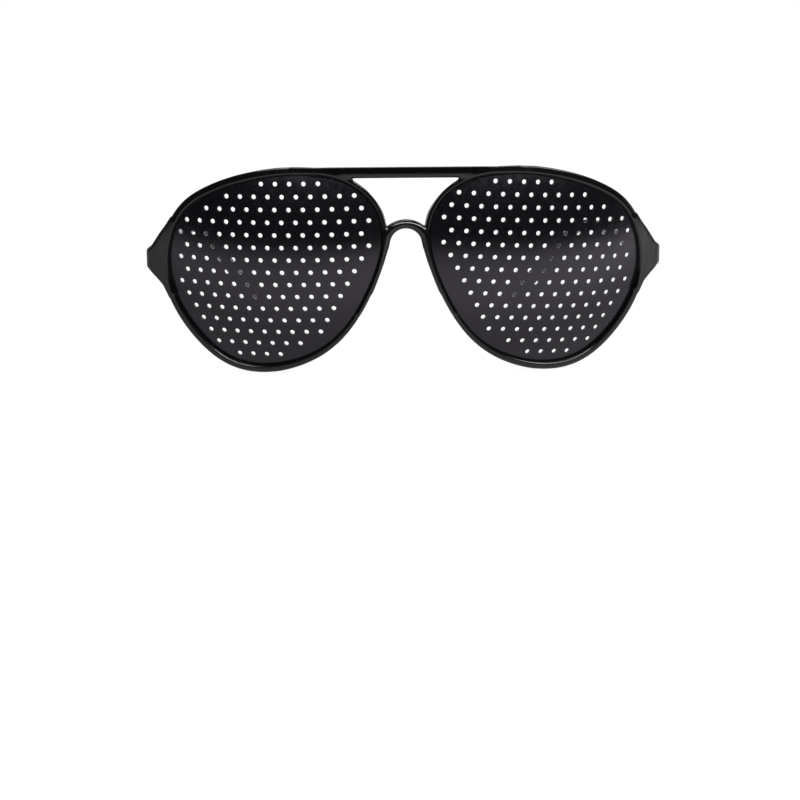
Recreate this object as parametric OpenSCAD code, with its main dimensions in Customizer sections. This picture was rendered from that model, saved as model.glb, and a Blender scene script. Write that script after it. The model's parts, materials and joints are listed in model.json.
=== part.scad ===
// Pinhole glasses: one moulded front with two rims, two perforated lens sheets,
// two folding temples on three-knuckle screw hinges.
// Millimetres. +X is the wearer's left, -Y is the front, +Z is up.
// The glasses stand open on the bottoms of the rims and on the temple tips, at Z = 0.

/* [Lenses] */
// Width of each lens opening
lens_w = 63.1; // [58:0.1:66]
// Height of each lens opening
lens_h = 56.8; // [54:0.1:62]
// Radius of the sphere that each lens sheet follows
lens_r = 73; // [66:1:110]
// Thickness of the lens sheet
sheet_t = 1; // [0.8:0.1:1.4]
// Diameter of each pinhole
hole_d = 1.4; // [1:0.1:2.2]
// Distance between pinholes along a row
hole_pitch = 4.2; // [3.6:0.1:6]
// Distance between rows of pinholes
row_pitch = 3.7; // [3.2:0.1:6]
// Width of the perforated field
field_w = 59.1; // [40:0.1:59.6]
// Height of the perforated field
field_h = 54.8; // [36:0.1:55.4]
// Angle by which the rows droop towards the temples
row_droop = 1.5; // [0:0.5:4]
// Angle by which the rows of both sheets lean down towards the wearer's left
row_lean = 0.9; // [0:0.1:1.5]

/* [Front] */
// Width of the rim above, below and outside each lens, seen from the front
rim_w = 3.2; // [2.2:0.1:4]
// Width of the rim at the nose, seen from the front
rim_nose_w = 2.1; // [1.8:0.1:3.6]
// Radius of the sphere that the front faces of the rims follow
rim_r = 78; // [74:1:120]
// Wall of the rim behind the lens sheet
rim_back = 1.2; // [0.9:0.1:2.5]
// Gap between the rims at the nose
nose_gap = 10.4; // [9:0.1:18]
// Angle that each lens turns back towards its temple
wrap = 9; // [4:0.5:12]
// Angle that the front leans forward at the top
tilt = 3.4; // [0:0.2:8]
// Height of the brow bar
brow_h = 3.3; // [2:0.1:5]
// Depth of the brow bar, front to back
brow_t = 3.4; // [2.4:0.1:4.5]
// Thickness of the nose arch at its crown
arch_h = 2.8; // [2:0.1:4]
// Depth of the nose arch, front to back
arch_t = 3.4; // [2.4:0.1:4.5]
// Inner radius of the nose arch
arch_r = 4.7; // [3.6:0.1:5.2]
// Height of the crown's underside above the middle of the lenses
arch_rise = 8.9; // [6:0.1:11]
// Length of each moulded nose pad
pad_h = 15; // [10:0.5:20]
// Depth of each moulded nose pad
pad_depth = 7; // [6:0.5:9]
// Thickness of each moulded nose pad
pad_t = 1.8; // [1.2:0.1:3]

/* [End pieces] */
// Reach of each end piece beyond its rim
end_reach = 4.6; // [4.6:0.1:9]
// Height of the outer edge of each end piece
end_h = 6; // [5.8:0.1:9]
// Distance from the front of the end piece back to the hinge
end_depth = 9.4; // [8.6:0.1:14]

/* [Temples] */
// Reach of each temple from its hinge to the tip, seen from the side
temple_l = 137; // [120:1:150]
// Thickness of the temples
temple_t = 3.2; // [2.8:0.1:4.5]
// Height of the temple at the hinge
temple_h = 6; // [5.8:0.1:9]
// Height of the temple just before the ear bend
temple_mid_h = 3.4; // [3:0.1:6]
// Height of the temple at the tip
tip_h = 4.8; // [4:0.2:8]
// Drop of the tip below the line of the temple
tip_drop = 33; // [24:0.5:34]
// Angle that the ear bend turns down
bend_angle = 33; // [26:1:40]
// Radius of the ear bend
bend_r = 37; // [12:1:50]
// Angle at which the wearer's left temple leans in from its hinge
lean_left = 6; // [3:0.5:10]
// Angle at which the wearer's right temple leans in from its hinge
lean_right = 4.5; // [3:0.5:10]
// Further angle at which the tips turn in
tip_in = 13; // [0:0.5:15]

/* [Hinges] */
// Height of the hinge barrel
barrel_h = 4.8; // [4:0.1:5.2]
// Diameter of the hinge barrel
barrel_d = 2.3; // [2:0.1:2.6]
// Diameter of the hinge screw
screw_d = 1.2; // [1:0.1:1.4]
// Thickness of the hinge leaves
leaf_t = 0.8; // [0.6:0.1:1]
// Length of the hinge leaves
leaf_l = 6.5; // [5:0.1:7]

/* [Hidden] */

black = [0.05, 0.05, 0.06];
charcoal = [0.12, 0.12, 0.14];
steel = [0.72, 0.72, 0.74];

$fn = 48;
far = 200;
spline_steps = 9;
arc_steps = 8;

groove = 0.8;
fit_gap = 0.05;
edge_gap = 0.1;
face_gap = 0.1;
knuckle_gap = 0.05;
screw_gap = 0.05;

// Handles of the lens opening, as a closed curve: outward, up, from the middle of the pattern
LENS_SHAPE = [[5, 24], [21.8, 18], [31.2, 10.5], [34.9, -8.1], [22.2, -27.3],
              [9.7, -34.9], [-13.6, -29.1], [-26, -12.2], [-33.7, 10.9], [-19.8, 25.2]];
// Handles of the perforated field, and its shift from where they place it
FIELD_SHAPE = [[5, 23.5], [20, 19.5], [32, 9.5], [33, -9.5], [24, -27],
               [7, -36], [-13.5, -28.5], [-26, -13], [-33.5, 15.5], [-14.5, 26]];
FIELD_SHIFT = [0.4, 0.8];

function blend(a, b, c, d, t) =
    ((1 - t) ^ 3 * a + (3 * t ^ 3 - 6 * t ^ 2 + 4) * b
     + (-3 * t ^ 3 + 3 * t ^ 2 + 3 * t + 1) * c + t ^ 3 * d) / 6;
function closed_curve(h, steps) = let (n = len(h))
    [for (i = [0:n - 1], k = [0:steps - 1])
        blend(h[(i + n - 1) % n], h[i], h[(i + 1) % n], h[(i + 2) % n], k / steps)];
function column(p, i) = [for (q = p) q[i]];
function low(p) = [min(column(p, 0)), min(column(p, 1))];
function high(p) = [max(column(p, 0)), max(column(p, 1))];
function stretch(p, w, h) = let (a = low(p), b = high(p), m = (a + b) / 2)
    [for (q = p) [m.x + (q.x - m.x) * w / (b.x - a.x), m.y + (q.y - m.y) * h / (b.y - a.y)]];
function unit(v) = v / norm(v);
// The curve runs clockwise, so its left side is outside
function grow(p, d) = let (n = len(p))
    [for (i = [0:n - 1]) let (t = unit(p[(i + 1) % n] - p[(i + n - 1) % n])) p[i] + d * [-t.y, t.x]];
function crossings(p, q) = let (n = len(p))
    len([for (i = [0:n - 1]) let (a = p[i], b = p[(i + 1) % n])
        if ((a.y > q.y) != (b.y > q.y) && q.x < a.x + (b.x - a.x) * (q.y - a.y) / (b.y - a.y)) 1]);
function inside(p, q) = crossings(p, q) % 2 == 1;
function sag(r, radius) = radius - sqrt(radius ^ 2 - r ^ 2);

base_curve = closed_curve(LENS_SHAPE, spline_steps);
opening = stretch(base_curve, lens_w, lens_h);
// The rim narrows evenly from the middle of the lens to the nose
function rim_here(q) = rim_w + (rim_nose_w - rim_w) * min(max(-2 * q.x / lens_w, 0), 1);
wide_rim = grow(opening, rim_w);
rim_edge = [for (i = [0:len(opening) - 1])
    opening[i] + (wide_rim[i] - opening[i]) * rim_here(opening[i]) / rim_w];
field_curve = closed_curve(FIELD_SHAPE, spline_steps);
field = [for (q = stretch(field_curve, min(field_w, lens_w - 2), min(field_h, lens_h - 2)))
    q + FIELD_SHIFT];

// Cuts through a lens and its rim run from ahead of the crown to behind the edges
ahead = lens_h / 6;
behind = lens_h / 2;

// Depth of the rim's front face and of its back, behind the crown of the lens
rim_proud = 0.8;
function rim_front(p) = sag(norm(p), rim_r) - rim_proud;
function rim_rear(p) = lens_r - sqrt((lens_r - sheet_t - rim_back) ^ 2 - norm(p) ^ 2);

// From lens axes (outward, back, up) to the glasses: turned back, leant, then moved
function turned(p) = [p.x * cos(wrap) - p.y * sin(wrap), p.x * sin(wrap) + p.y * cos(wrap), p.z];
function leant(p) = [p.x, p.y * cos(tilt) - p.z * sin(tilt), p.y * sin(tilt) + p.z * cos(tilt)];
function rim_point(p) = leant(turned([p.x, rim_front(p), p.y]));
lens_z = -min([for (p = rim_edge) rim_point(p).z]);
nose_at = [low(rim_edge).x, 0];
nose_rear = turned([nose_at.x, rim_rear(nose_at), 0]);
lens_x = nose_gap / 2 - nose_rear.x;
function placed(p) = leant(turned(p)) + [lens_x, 0, lens_z];
function front_of(p) = placed([p.x, rim_front(p), p.y]);

// The rim's outermost point, where the end piece starts, and the hinge axis behind it
outer_at = [high(rim_edge).x, 0];
rim_end = front_of(outer_at);
half_w = rim_end.x + end_reach;
end_drop = 1.2;
hinge_drop = 0.9;
end_inset = 0.3;
axis_to_face = 1;
hinge_at = [half_w - end_inset - temple_t - axis_to_face, rim_end.y + end_depth, lens_z - hinge_drop];

// The temple's slope brings the round underside of its tip down to Z = 0
tip_r = tip_h / 2;
tip_y = temple_l - tip_r;
slope = asin((hinge_at.z - tip_r) / norm([tip_y, tip_drop])) - atan2(tip_drop, tip_y);

// The middle of the glasses, front to back, is at Y = 0.
// A rim's lip or the crown of a lens sheet is foremost.
crown_y = lens_r * (cos(wrap) * cos(tilt) - 1);
front_y = min(concat([crown_y], [for (p = opening) front_of(p).y]));
back_y = hinge_at.y + tip_y * cos(slope) - tip_drop * sin(slope) + tip_r;
mid_y = (front_y + back_y) / 2;
module centred() { translate([0, -mid_y, 0]) children(); }

// A line that runs straight, turns through an arc and runs straight on to a point.
// Each station is [along, across, direction].
function bend_start(end, r, turn) =
    end.x - r * sin(turn) - (end.y - r * (1 - cos(turn))) / tan(turn);
function bent(end, r, turn) = let (s = bend_start(end, r, turn))
    concat([[0, 0, 0]],
           [for (i = [0:arc_steps]) let (a = turn * i / arc_steps)
               [s + r * sin(a), r * (1 - cos(a)), a]],
           [[end.x, end.y, turn]]);
function sides(p, h) = concat(
    [for (i = [0:len(p) - 1]) [p[i][0] + h[i] * sin(p[i][2]), p[i][1] - h[i] * cos(p[i][2])]],
    [for (i = [len(p) - 1:-1:0]) [p[i][0] - h[i] * sin(p[i][2]), p[i][1] + h[i] * cos(p[i][2])]]);

side_line = bent([tip_y, tip_drop], bend_r, bend_angle);
side_half = concat([temple_h / 2], [for (i = [0:arc_steps]) temple_mid_h / 2], [tip_r]);
turn_in_y = bend_start([tip_y, tip_drop], bend_r, bend_angle);
turn_in_r = 60;
plan_l = temple_l * 1.05;
plan_line = bent([plan_l, (plan_l - turn_in_y) * tan(tip_in)], turn_in_r, tip_in);
plan_half = [for (p = plan_line) temple_t / 2];
function lean_in(side) = side > 0 ? lean_left : lean_right;

// A solid between two depths behind the crown, of a shape drawn outward and up
module through(from, to) {
    translate([0, to, 0]) rotate([90, 0, 0]) linear_extrude(to - from) children();
}

module at_lens(side) {
    mirror([side < 0 ? 1 : 0, 0, 0])
    translate([lens_x, 0, lens_z]) rotate([tilt, 0, 0]) rotate([0, 0, wrap]) children();
}

module at_hinge(side) {
    mirror([side < 0 ? 1 : 0, 0, 0])
    translate(hinge_at) rotate([-slope, 0, 0]) children();
}

module lens_ball(r) { translate([0, lens_r, 0]) sphere(r, $fn = 120); }

// One rim: its outline, between the front sphere and the back sphere
module rim() {
    difference() {
        intersection() {
            through(-ahead, behind) polygon(rim_edge);
            translate([0, rim_r - rim_proud, 0]) sphere(rim_r, $fn = 120);
        }
        lens_ball(lens_r - sheet_t - rim_back);
    }
}

// The seat of the lens: its opening and the groove that holds the edge of the sheet
module lens_seat() {
    through(-ahead, behind) polygon(opening);
    intersection() {
        through(0, behind) polygon(grow(opening, groove));
        difference() {
            lens_ball(lens_r + fit_gap);
            lens_ball(lens_r - sheet_t - fit_gap);
        }
    }
}

module lens(side) {
    color(charcoal) centred() at_lens(side) difference() {
        intersection() {
            through(-ahead, behind) polygon(grow(opening, groove - edge_gap));
            lens_ball(lens_r);
        }
        lens_ball(lens_r - sheet_t);
        rotate([0, side * row_lean, 0]) for (p = holes)
            translate([p.x, 0, p.y]) rotate([-90, 0, 0]) cylinder(behind, d = hole_d, $fn = 24);
    }
}

// Pinholes: staggered rows, kept where the field holds them
row_span = ceil(lens_h / row_pitch);
hole_span = ceil(lens_w / hole_pitch);
holes = [for (r = [-row_span:row_span], c = [-hole_span:hole_span])
    let (u = (c + (r % 2 == 0 ? 0 : 0.5)) * hole_pitch,
         v = r * row_pitch,
         p = [u * cos(row_droop) + v * sin(row_droop), v * cos(row_droop) - u * sin(row_droop)])
    if (inside(field, p)) p];

// Brow bar: it meets both rims just below their highest points, flush with their front faces
brow_top = max([for (p = rim_edge) front_of(p).z]);
brow_drop = 0.35;
brow_end = [for (p = rim_edge) if (front_of(p).z == brow_top) front_of(p)][0] - [0.4, -0.02, 0];
brow_front = brow_end.y - 0.3;
brow_mid = brow_end.x - 12;

module brow_bar() {
    translate([0, 0, brow_top - brow_drop - brow_h]) linear_extrude(brow_h)
        polygon([[-brow_end.x, brow_end.y], [-brow_mid, brow_front],
                 [brow_mid, brow_front], [brow_end.x, brow_end.y],
                 [brow_end.x, brow_end.y + brow_t], [-brow_end.x, brow_end.y + brow_t]]);
}

// Nose arch: a ring sector over two legs that run down into the rims
arch_z = lens_z + arch_rise - arch_r;
arch_top = lens_z + arch_rise + arch_h;
arch_front = front_of(nose_at).y - 0.1;
leg_z = lens_z - 1;
foot_z = lens_z - 9.5;
foot_x = nose_gap / 2 + 4.4;
leg_x = nose_gap / 2 + 1.1;
notch = nose_gap / 2 + 0.65;
notch_z = arch_top - 2.3;
arch_out_r = (notch ^ 2 + (arch_top - notch_z) ^ 2) / (2 * (arch_top - notch_z));

module nose_arch() {
    translate([0, arch_front + arch_t, 0]) rotate([90, 0, 0]) linear_extrude(arch_t) difference() {
        union() {
            intersection() {
                translate([0, arch_top - arch_out_r]) circle(arch_out_r, $fn = 96);
                translate([-arch_r - 3, arch_z]) square([2 * arch_r + 6, far]);
            }
            for (side = [-1, 1])
                polygon([[side * (arch_r - 0.6), arch_z + 2], [side * leg_x, leg_z],
                         [side * foot_x, foot_z], [side * (foot_x + 2), foot_z],
                         [side * (leg_x + 2.5), leg_z], [side * (arch_r + 3), arch_z + 2]]);
        }
        translate([0, arch_z]) circle(arch_r, $fn = 96);
    }
}

// A moulded nose pad: a round-cornered plate that splays back and down from the rim's rear
pad_lean = 19;
pad_splay = 24;
pad_corner = 3.6;
pad_top = lens_z + 2.2;
pad_root = nose_rear.y - 1.2;
module nose_pad() {
    translate([nose_gap / 2 + 0.65, pad_root, pad_top])
    rotate([0, -pad_lean, 0]) rotate([0, 0, -pad_splay]) rotate([90, 0, 90])
    linear_extrude(pad_t) {
        translate([0, -pad_h + pad_corner]) square([pad_depth, pad_h - 2 * pad_corner]);
        translate([0, -pad_h]) square([pad_depth - pad_corner, pad_h]);
        for (z = [-pad_corner, pad_corner - pad_h])
            translate([pad_depth - pad_corner, z]) circle(pad_corner);
    }
}

// End piece: a front shape that flares from the rim to the tip, cut to a bent plan
tip_top = lens_z - end_drop + end_h / 2;
tip_low = lens_z - end_drop - end_h / 2;
// Corners of its front edge: beyond the rim, and above or below the tip
END_TOP = [[2.9, 1.3], [0.3, 5.1]];
END_LOW = [[-0.4, 4.8], [1.7, 2.4]];
front_slope = 0.48;
end_t = 4.2;
block_end = rim_end.y + end_depth - 3;

// The front shape springs from the rim's outer edge above and below its outermost point
function outer_edge(t) = let (c = [for (p = rim_edge) if (p.x > 0) p],
                              d = [for (p = c) abs(p.y - t)], m = min(d))
    front_of([for (i = [0:len(c) - 1]) if (d[i] == m) c[i]][0]);
root_top = outer_edge(11);
root_low = outer_edge(-13);

module end_front() {
    polygon([[root_top.x - 2, root_top.z - 1], [rim_end.x - 7, lens_z],
             [root_low.x - 2, root_low.z + 1], [root_low.x - 0.3, root_low.z],
             for (p = END_LOW) [rim_end.x + p.x, tip_low - p.y],
             [half_w - 1.3, tip_low - 0.7], [half_w - 0.2, tip_low + 1],
             [half_w, tip_top - 0.6], [half_w - 0.5, tip_top + 0.1],
             for (p = END_TOP) [rim_end.x + p.x, tip_top + p.y],
             [root_top.x + 0.1, root_top.z]]);
}

module end_plan() {
    polygon([[rim_end.x - 7, rim_end.y - 7 * front_slope],
             [half_w - 2, rim_end.y + (end_reach - 2) * front_slope],
             [half_w - 0.6, rim_end.y + (end_reach - 2) * front_slope + 1.1],
             [half_w, rim_end.y + (end_reach - 2) * front_slope + 2.6],
             [half_w, block_end], [hinge_at.x + axis_to_face, block_end],
             [hinge_at.x + axis_to_face, rim_end.y + end_t + 1],
             [rim_end.x - 1, rim_end.y + end_t - 0.5],
             [rim_end.x - 7, rim_end.y + end_t - 7 * front_slope]]);
}

module end_piece() {
    intersection() {
        translate([0, far / 2, 0]) rotate([90, 0, 0]) linear_extrude(far) end_front();
        translate([0, 0, lens_z]) rotate([tilt, 0, 0]) translate([0, 0, -far / 2])
            linear_extrude(far) end_plan();
    }
    translate(hinge_at) rotate([-slope, 0, 0])
    translate([axis_to_face, -6, -temple_h / 2]) cube([temple_t, 6 - face_gap, temple_h]);
}

// A pocket for a hinge leaf and a round relief for the barrel, both cut from the plastic
module leaf_pocket(way) {
    mirror([0, way > 0 ? 0 : 1, 0]) {
        translate([0, barrel_d / 2, -barrel_h / 2 - fit_gap])
            cube([axis_to_face + leaf_t / 2 + fit_gap, leaf_l + fit_gap, barrel_h + 2 * fit_gap]);
        translate([0, 0, -barrel_h / 2 - 0.7]) cylinder(barrel_h + 1.4, d = barrel_d + 0.3);
        translate([0, 0, -barrel_h / 2 - fit_gap])
            cube([axis_to_face + leaf_t / 2 + fit_gap, barrel_d, barrel_h + 2 * fit_gap]);
        for (y = stud_y) translate([0, y, 0]) rotate([0, 90, 0])
            cylinder(axis_to_face + leaf_t / 2 + stud_l + fit_gap, d = stud_d + 2 * fit_gap);
    }
}

module front_frame() {
    color(black) centred() {
        difference() {
            union() {
                for (side = [-1, 1]) {
                    at_lens(side) rim();
                    mirror([side < 0 ? 1 : 0, 0, 0]) end_piece();
                }
                brow_bar();
                nose_arch();
            }
            for (side = [-1, 1]) {
                at_lens(side) lens_seat();
                at_hinge(side) leaf_pocket(-1);
            }
        }
        for (side = [-1, 1]) mirror([side < 0 ? 1 : 0, 0, 0]) nose_pad();
    }
}

// Temple: the side shape and the plan shape, cut from each other
module temple(side) {
    color(black) centred() at_hinge(side) difference() {
        intersection() {
            translate([-far / 2, 0, 0]) rotate([90, 0, 90]) mirror([0, 1, 0]) linear_extrude(far) {
                polygon(sides(side_line, side_half));
                translate([tip_y, tip_drop]) circle(tip_r);
            }
            translate([0, 0, -far / 2]) rotate([0, 0, 90 + lean_in(side)]) mirror([0, 1, 0])
                translate([0, axis_to_face + temple_t / 2]) linear_extrude(far)
                polygon(sides(plan_mirrored, plan_half));
            translate([-far / 2, face_gap, -far / 2]) cube(far);
        }
        rotate([0, 0, lean_in(side)]) leaf_pocket(1);
    }
}
plan_mirrored = [for (p = plan_line) [p[0], -p[1], -p[2]]];

// Hinge: two outer knuckles on the front leaf, one between them on the temple leaf
stud_d = 1.2;
stud_l = 1.2;
stud_y = [barrel_d / 2 + leaf_l * 0.35, barrel_d / 2 + leaf_l * 0.75];
knuckle_h = barrel_h / 3;

module leaf_plate(way) {
    mirror([0, way > 0 ? 0 : 1, 0]) {
        translate([axis_to_face - leaf_t / 2, barrel_d / 2 + 0.25, -barrel_h / 2])
            cube([leaf_t, leaf_l - 0.25, barrel_h]);
        for (y = stud_y) translate([axis_to_face, y, 0]) rotate([0, 90, 0])
            cylinder(leaf_t / 2 + stud_l, d = stud_d);
    }
}

module knuckle(way, from, to, bore) {
    difference() {
        union() {
            translate([0, 0, from]) cylinder(to - from, d = barrel_d);
            mirror([0, way > 0 ? 0 : 1, 0]) translate([axis_to_face - leaf_t / 2, 0, from])
                cube([leaf_t, barrel_d / 2 + 0.5, to - from]);
        }
        translate([0, 0, from - 1]) cylinder(to - from + 2, d = bore);
    }
}

module hinge_front_leaf(side) {
    color(steel) centred() at_hinge(side) {
        leaf_plate(-1);
        knuckle(-1, -barrel_h / 2, -knuckle_h / 2 - knuckle_gap, screw_d + 0.02);
        knuckle(-1, knuckle_h / 2 + knuckle_gap, barrel_h / 2, screw_d + 0.04);
    }
}

module hinge_temple_leaf(side) {
    color(steel) centred() at_hinge(side) rotate([0, 0, lean_in(side)]) {
        leaf_plate(1);
        knuckle(1, -knuckle_h / 2, knuckle_h / 2, screw_d + 2 * screw_gap);
    }
}

module hinge_screw(side) {
    color(steel) centred() at_hinge(side) difference() {
        union() {
            translate([0, 0, -barrel_h / 2]) cylinder(barrel_h, d = screw_d);
            translate([0, 0, barrel_h / 2 + 0.01]) cylinder(0.5, d = barrel_d - 0.3);
            translate([0, 0, barrel_h / 2 - 0.1]) cylinder(0.2, d = screw_d);
        }
        translate([-barrel_d, -0.15, barrel_h / 2 + 0.26]) cube([2 * barrel_d, 0.3, 1]);
    }
}

front_frame();
lens(1);  // lens_left
lens(-1);  // lens_right
temple(1);  // temple_left
temple(-1);  // temple_right
hinge_front_leaf(1);  // hinge_front_leaf_left
hinge_front_leaf(-1);  // hinge_front_leaf_right
hinge_temple_leaf(1);  // hinge_temple_leaf_left
hinge_temple_leaf(-1);  // hinge_temple_leaf_right
hinge_screw(1);  // hinge_screw_left
hinge_screw(-1);  // hinge_screw_right
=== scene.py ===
"""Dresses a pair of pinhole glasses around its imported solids.

The front moulding and the temples are modelled again as smooth glossy skins, each drawn
as the zero level of a distance field in millimetres. The perforated lens sheets and the
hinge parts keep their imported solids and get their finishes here.
"""

import json
import logging
import math
from collections.abc import Callable
from dataclasses import dataclass, field
from enum import Enum

import bpy
import numpy as np
from mathutils import Matrix, Vector


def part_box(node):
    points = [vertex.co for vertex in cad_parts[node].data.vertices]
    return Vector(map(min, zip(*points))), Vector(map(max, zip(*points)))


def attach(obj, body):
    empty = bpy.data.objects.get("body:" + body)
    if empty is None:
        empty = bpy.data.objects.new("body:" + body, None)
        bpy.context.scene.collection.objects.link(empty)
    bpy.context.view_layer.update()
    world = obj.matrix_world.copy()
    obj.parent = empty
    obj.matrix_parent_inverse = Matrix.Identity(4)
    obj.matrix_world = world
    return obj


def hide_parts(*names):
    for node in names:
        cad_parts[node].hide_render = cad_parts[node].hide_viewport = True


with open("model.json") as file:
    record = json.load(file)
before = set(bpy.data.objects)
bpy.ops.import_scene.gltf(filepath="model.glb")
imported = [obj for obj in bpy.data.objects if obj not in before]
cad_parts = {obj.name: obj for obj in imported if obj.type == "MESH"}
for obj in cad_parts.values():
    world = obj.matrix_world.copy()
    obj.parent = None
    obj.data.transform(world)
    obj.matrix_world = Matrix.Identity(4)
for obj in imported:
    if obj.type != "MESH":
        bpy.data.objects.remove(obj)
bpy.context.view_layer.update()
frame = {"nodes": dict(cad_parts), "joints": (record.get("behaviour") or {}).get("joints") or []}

LOG = logging.getLogger("pinhole_glasses")
MM = 0.001
Points = np.ndarray
Distances = np.ndarray
Field = Callable[[Points], Distances]


class Side(Enum):
    """The wearer's two sides; the value is the sign of X."""

    LEFT = 1
    RIGHT = -1

    @property
    def word(self) -> str:
        """The side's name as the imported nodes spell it."""
        return self.name.lower()


class Surface(Enum):
    """How a finish's fine texture is made."""

    MOULDED = "moulded"
    SHEET = "sheet"
    METAL = "metal"


# Distance helpers


def soft_max(a: Distances, b: Distances, radius: float) -> Distances:
    """Intersects two distances and rounds the edge between them.

    Args:
        a: Distances of the first shape.
        b: Distances of the second shape.
        radius: Width of the rounded band, in millimetres.

    Returns:
        Distances of the rounded intersection.
    """
    near = np.maximum(radius - np.abs(a - b), 0.0) / radius
    return np.maximum(a, b) + near * near * radius / 4


def soft_min(a: Distances, b: Distances, radius: float) -> Distances:
    """Joins two distances with a fillet of about the given width."""
    return -soft_max(-a, -b, radius)


def smoothstep(low: float, high: float, x: Distances) -> Distances:
    """A smooth 0 to 1 ramp between low and high."""
    t = np.clip((x - low) / (high - low), 0.0, 1.0)
    return t * t * (3 - 2 * t)


def polygon_distance(x: Distances, z: Distances, corners: Points) -> Distances:
    """Signed distance to a closed polygon, negative inside.

    Args:
        x: First coordinates.
        z: Second coordinates.
        corners: The polygon's corners, in order.

    Returns:
        Distances in the corners' own unit.
    """
    best = np.full(x.shape, np.inf)
    inside = np.zeros(x.shape, bool)
    for a, b in zip(corners, np.roll(corners, -1, axis=0)):
        edge = b - a
        t = np.clip(((x - a[0]) * edge[0] + (z - a[1]) * edge[1]) / (edge @ edge), 0, 1)
        gap = (x - a[0] - t * edge[0]) ** 2 + (z - a[1] - t * edge[1]) ** 2
        best = np.minimum(best, gap)
        if a[1] != b[1]:
            crosses = (a[1] > z) != (b[1] > z)
            inside ^= crosses & (x < a[0] + edge[0] * (z - a[1]) / edge[1])
    return np.where(inside, -1.0, 1.0) * np.sqrt(best)


def segment_distance(x: Distances, z: Distances, a: Points, b: Points) -> Distances:
    """Distance to a straight segment in a plane."""
    edge = b - a
    t = np.clip(((x - a[0]) * edge[0] + (z - a[1]) * edge[1]) / (edge @ edge), 0, 1)
    return np.hypot(x - a[0] - t * edge[0], z - a[1] - t * edge[1])


def rotation(axis: str, degrees: float) -> Points:
    """A 3 by 3 rotation about one axis, for column vectors."""
    return np.array(Matrix.Rotation(math.radians(degrees), 3, axis))


# Skins


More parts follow.
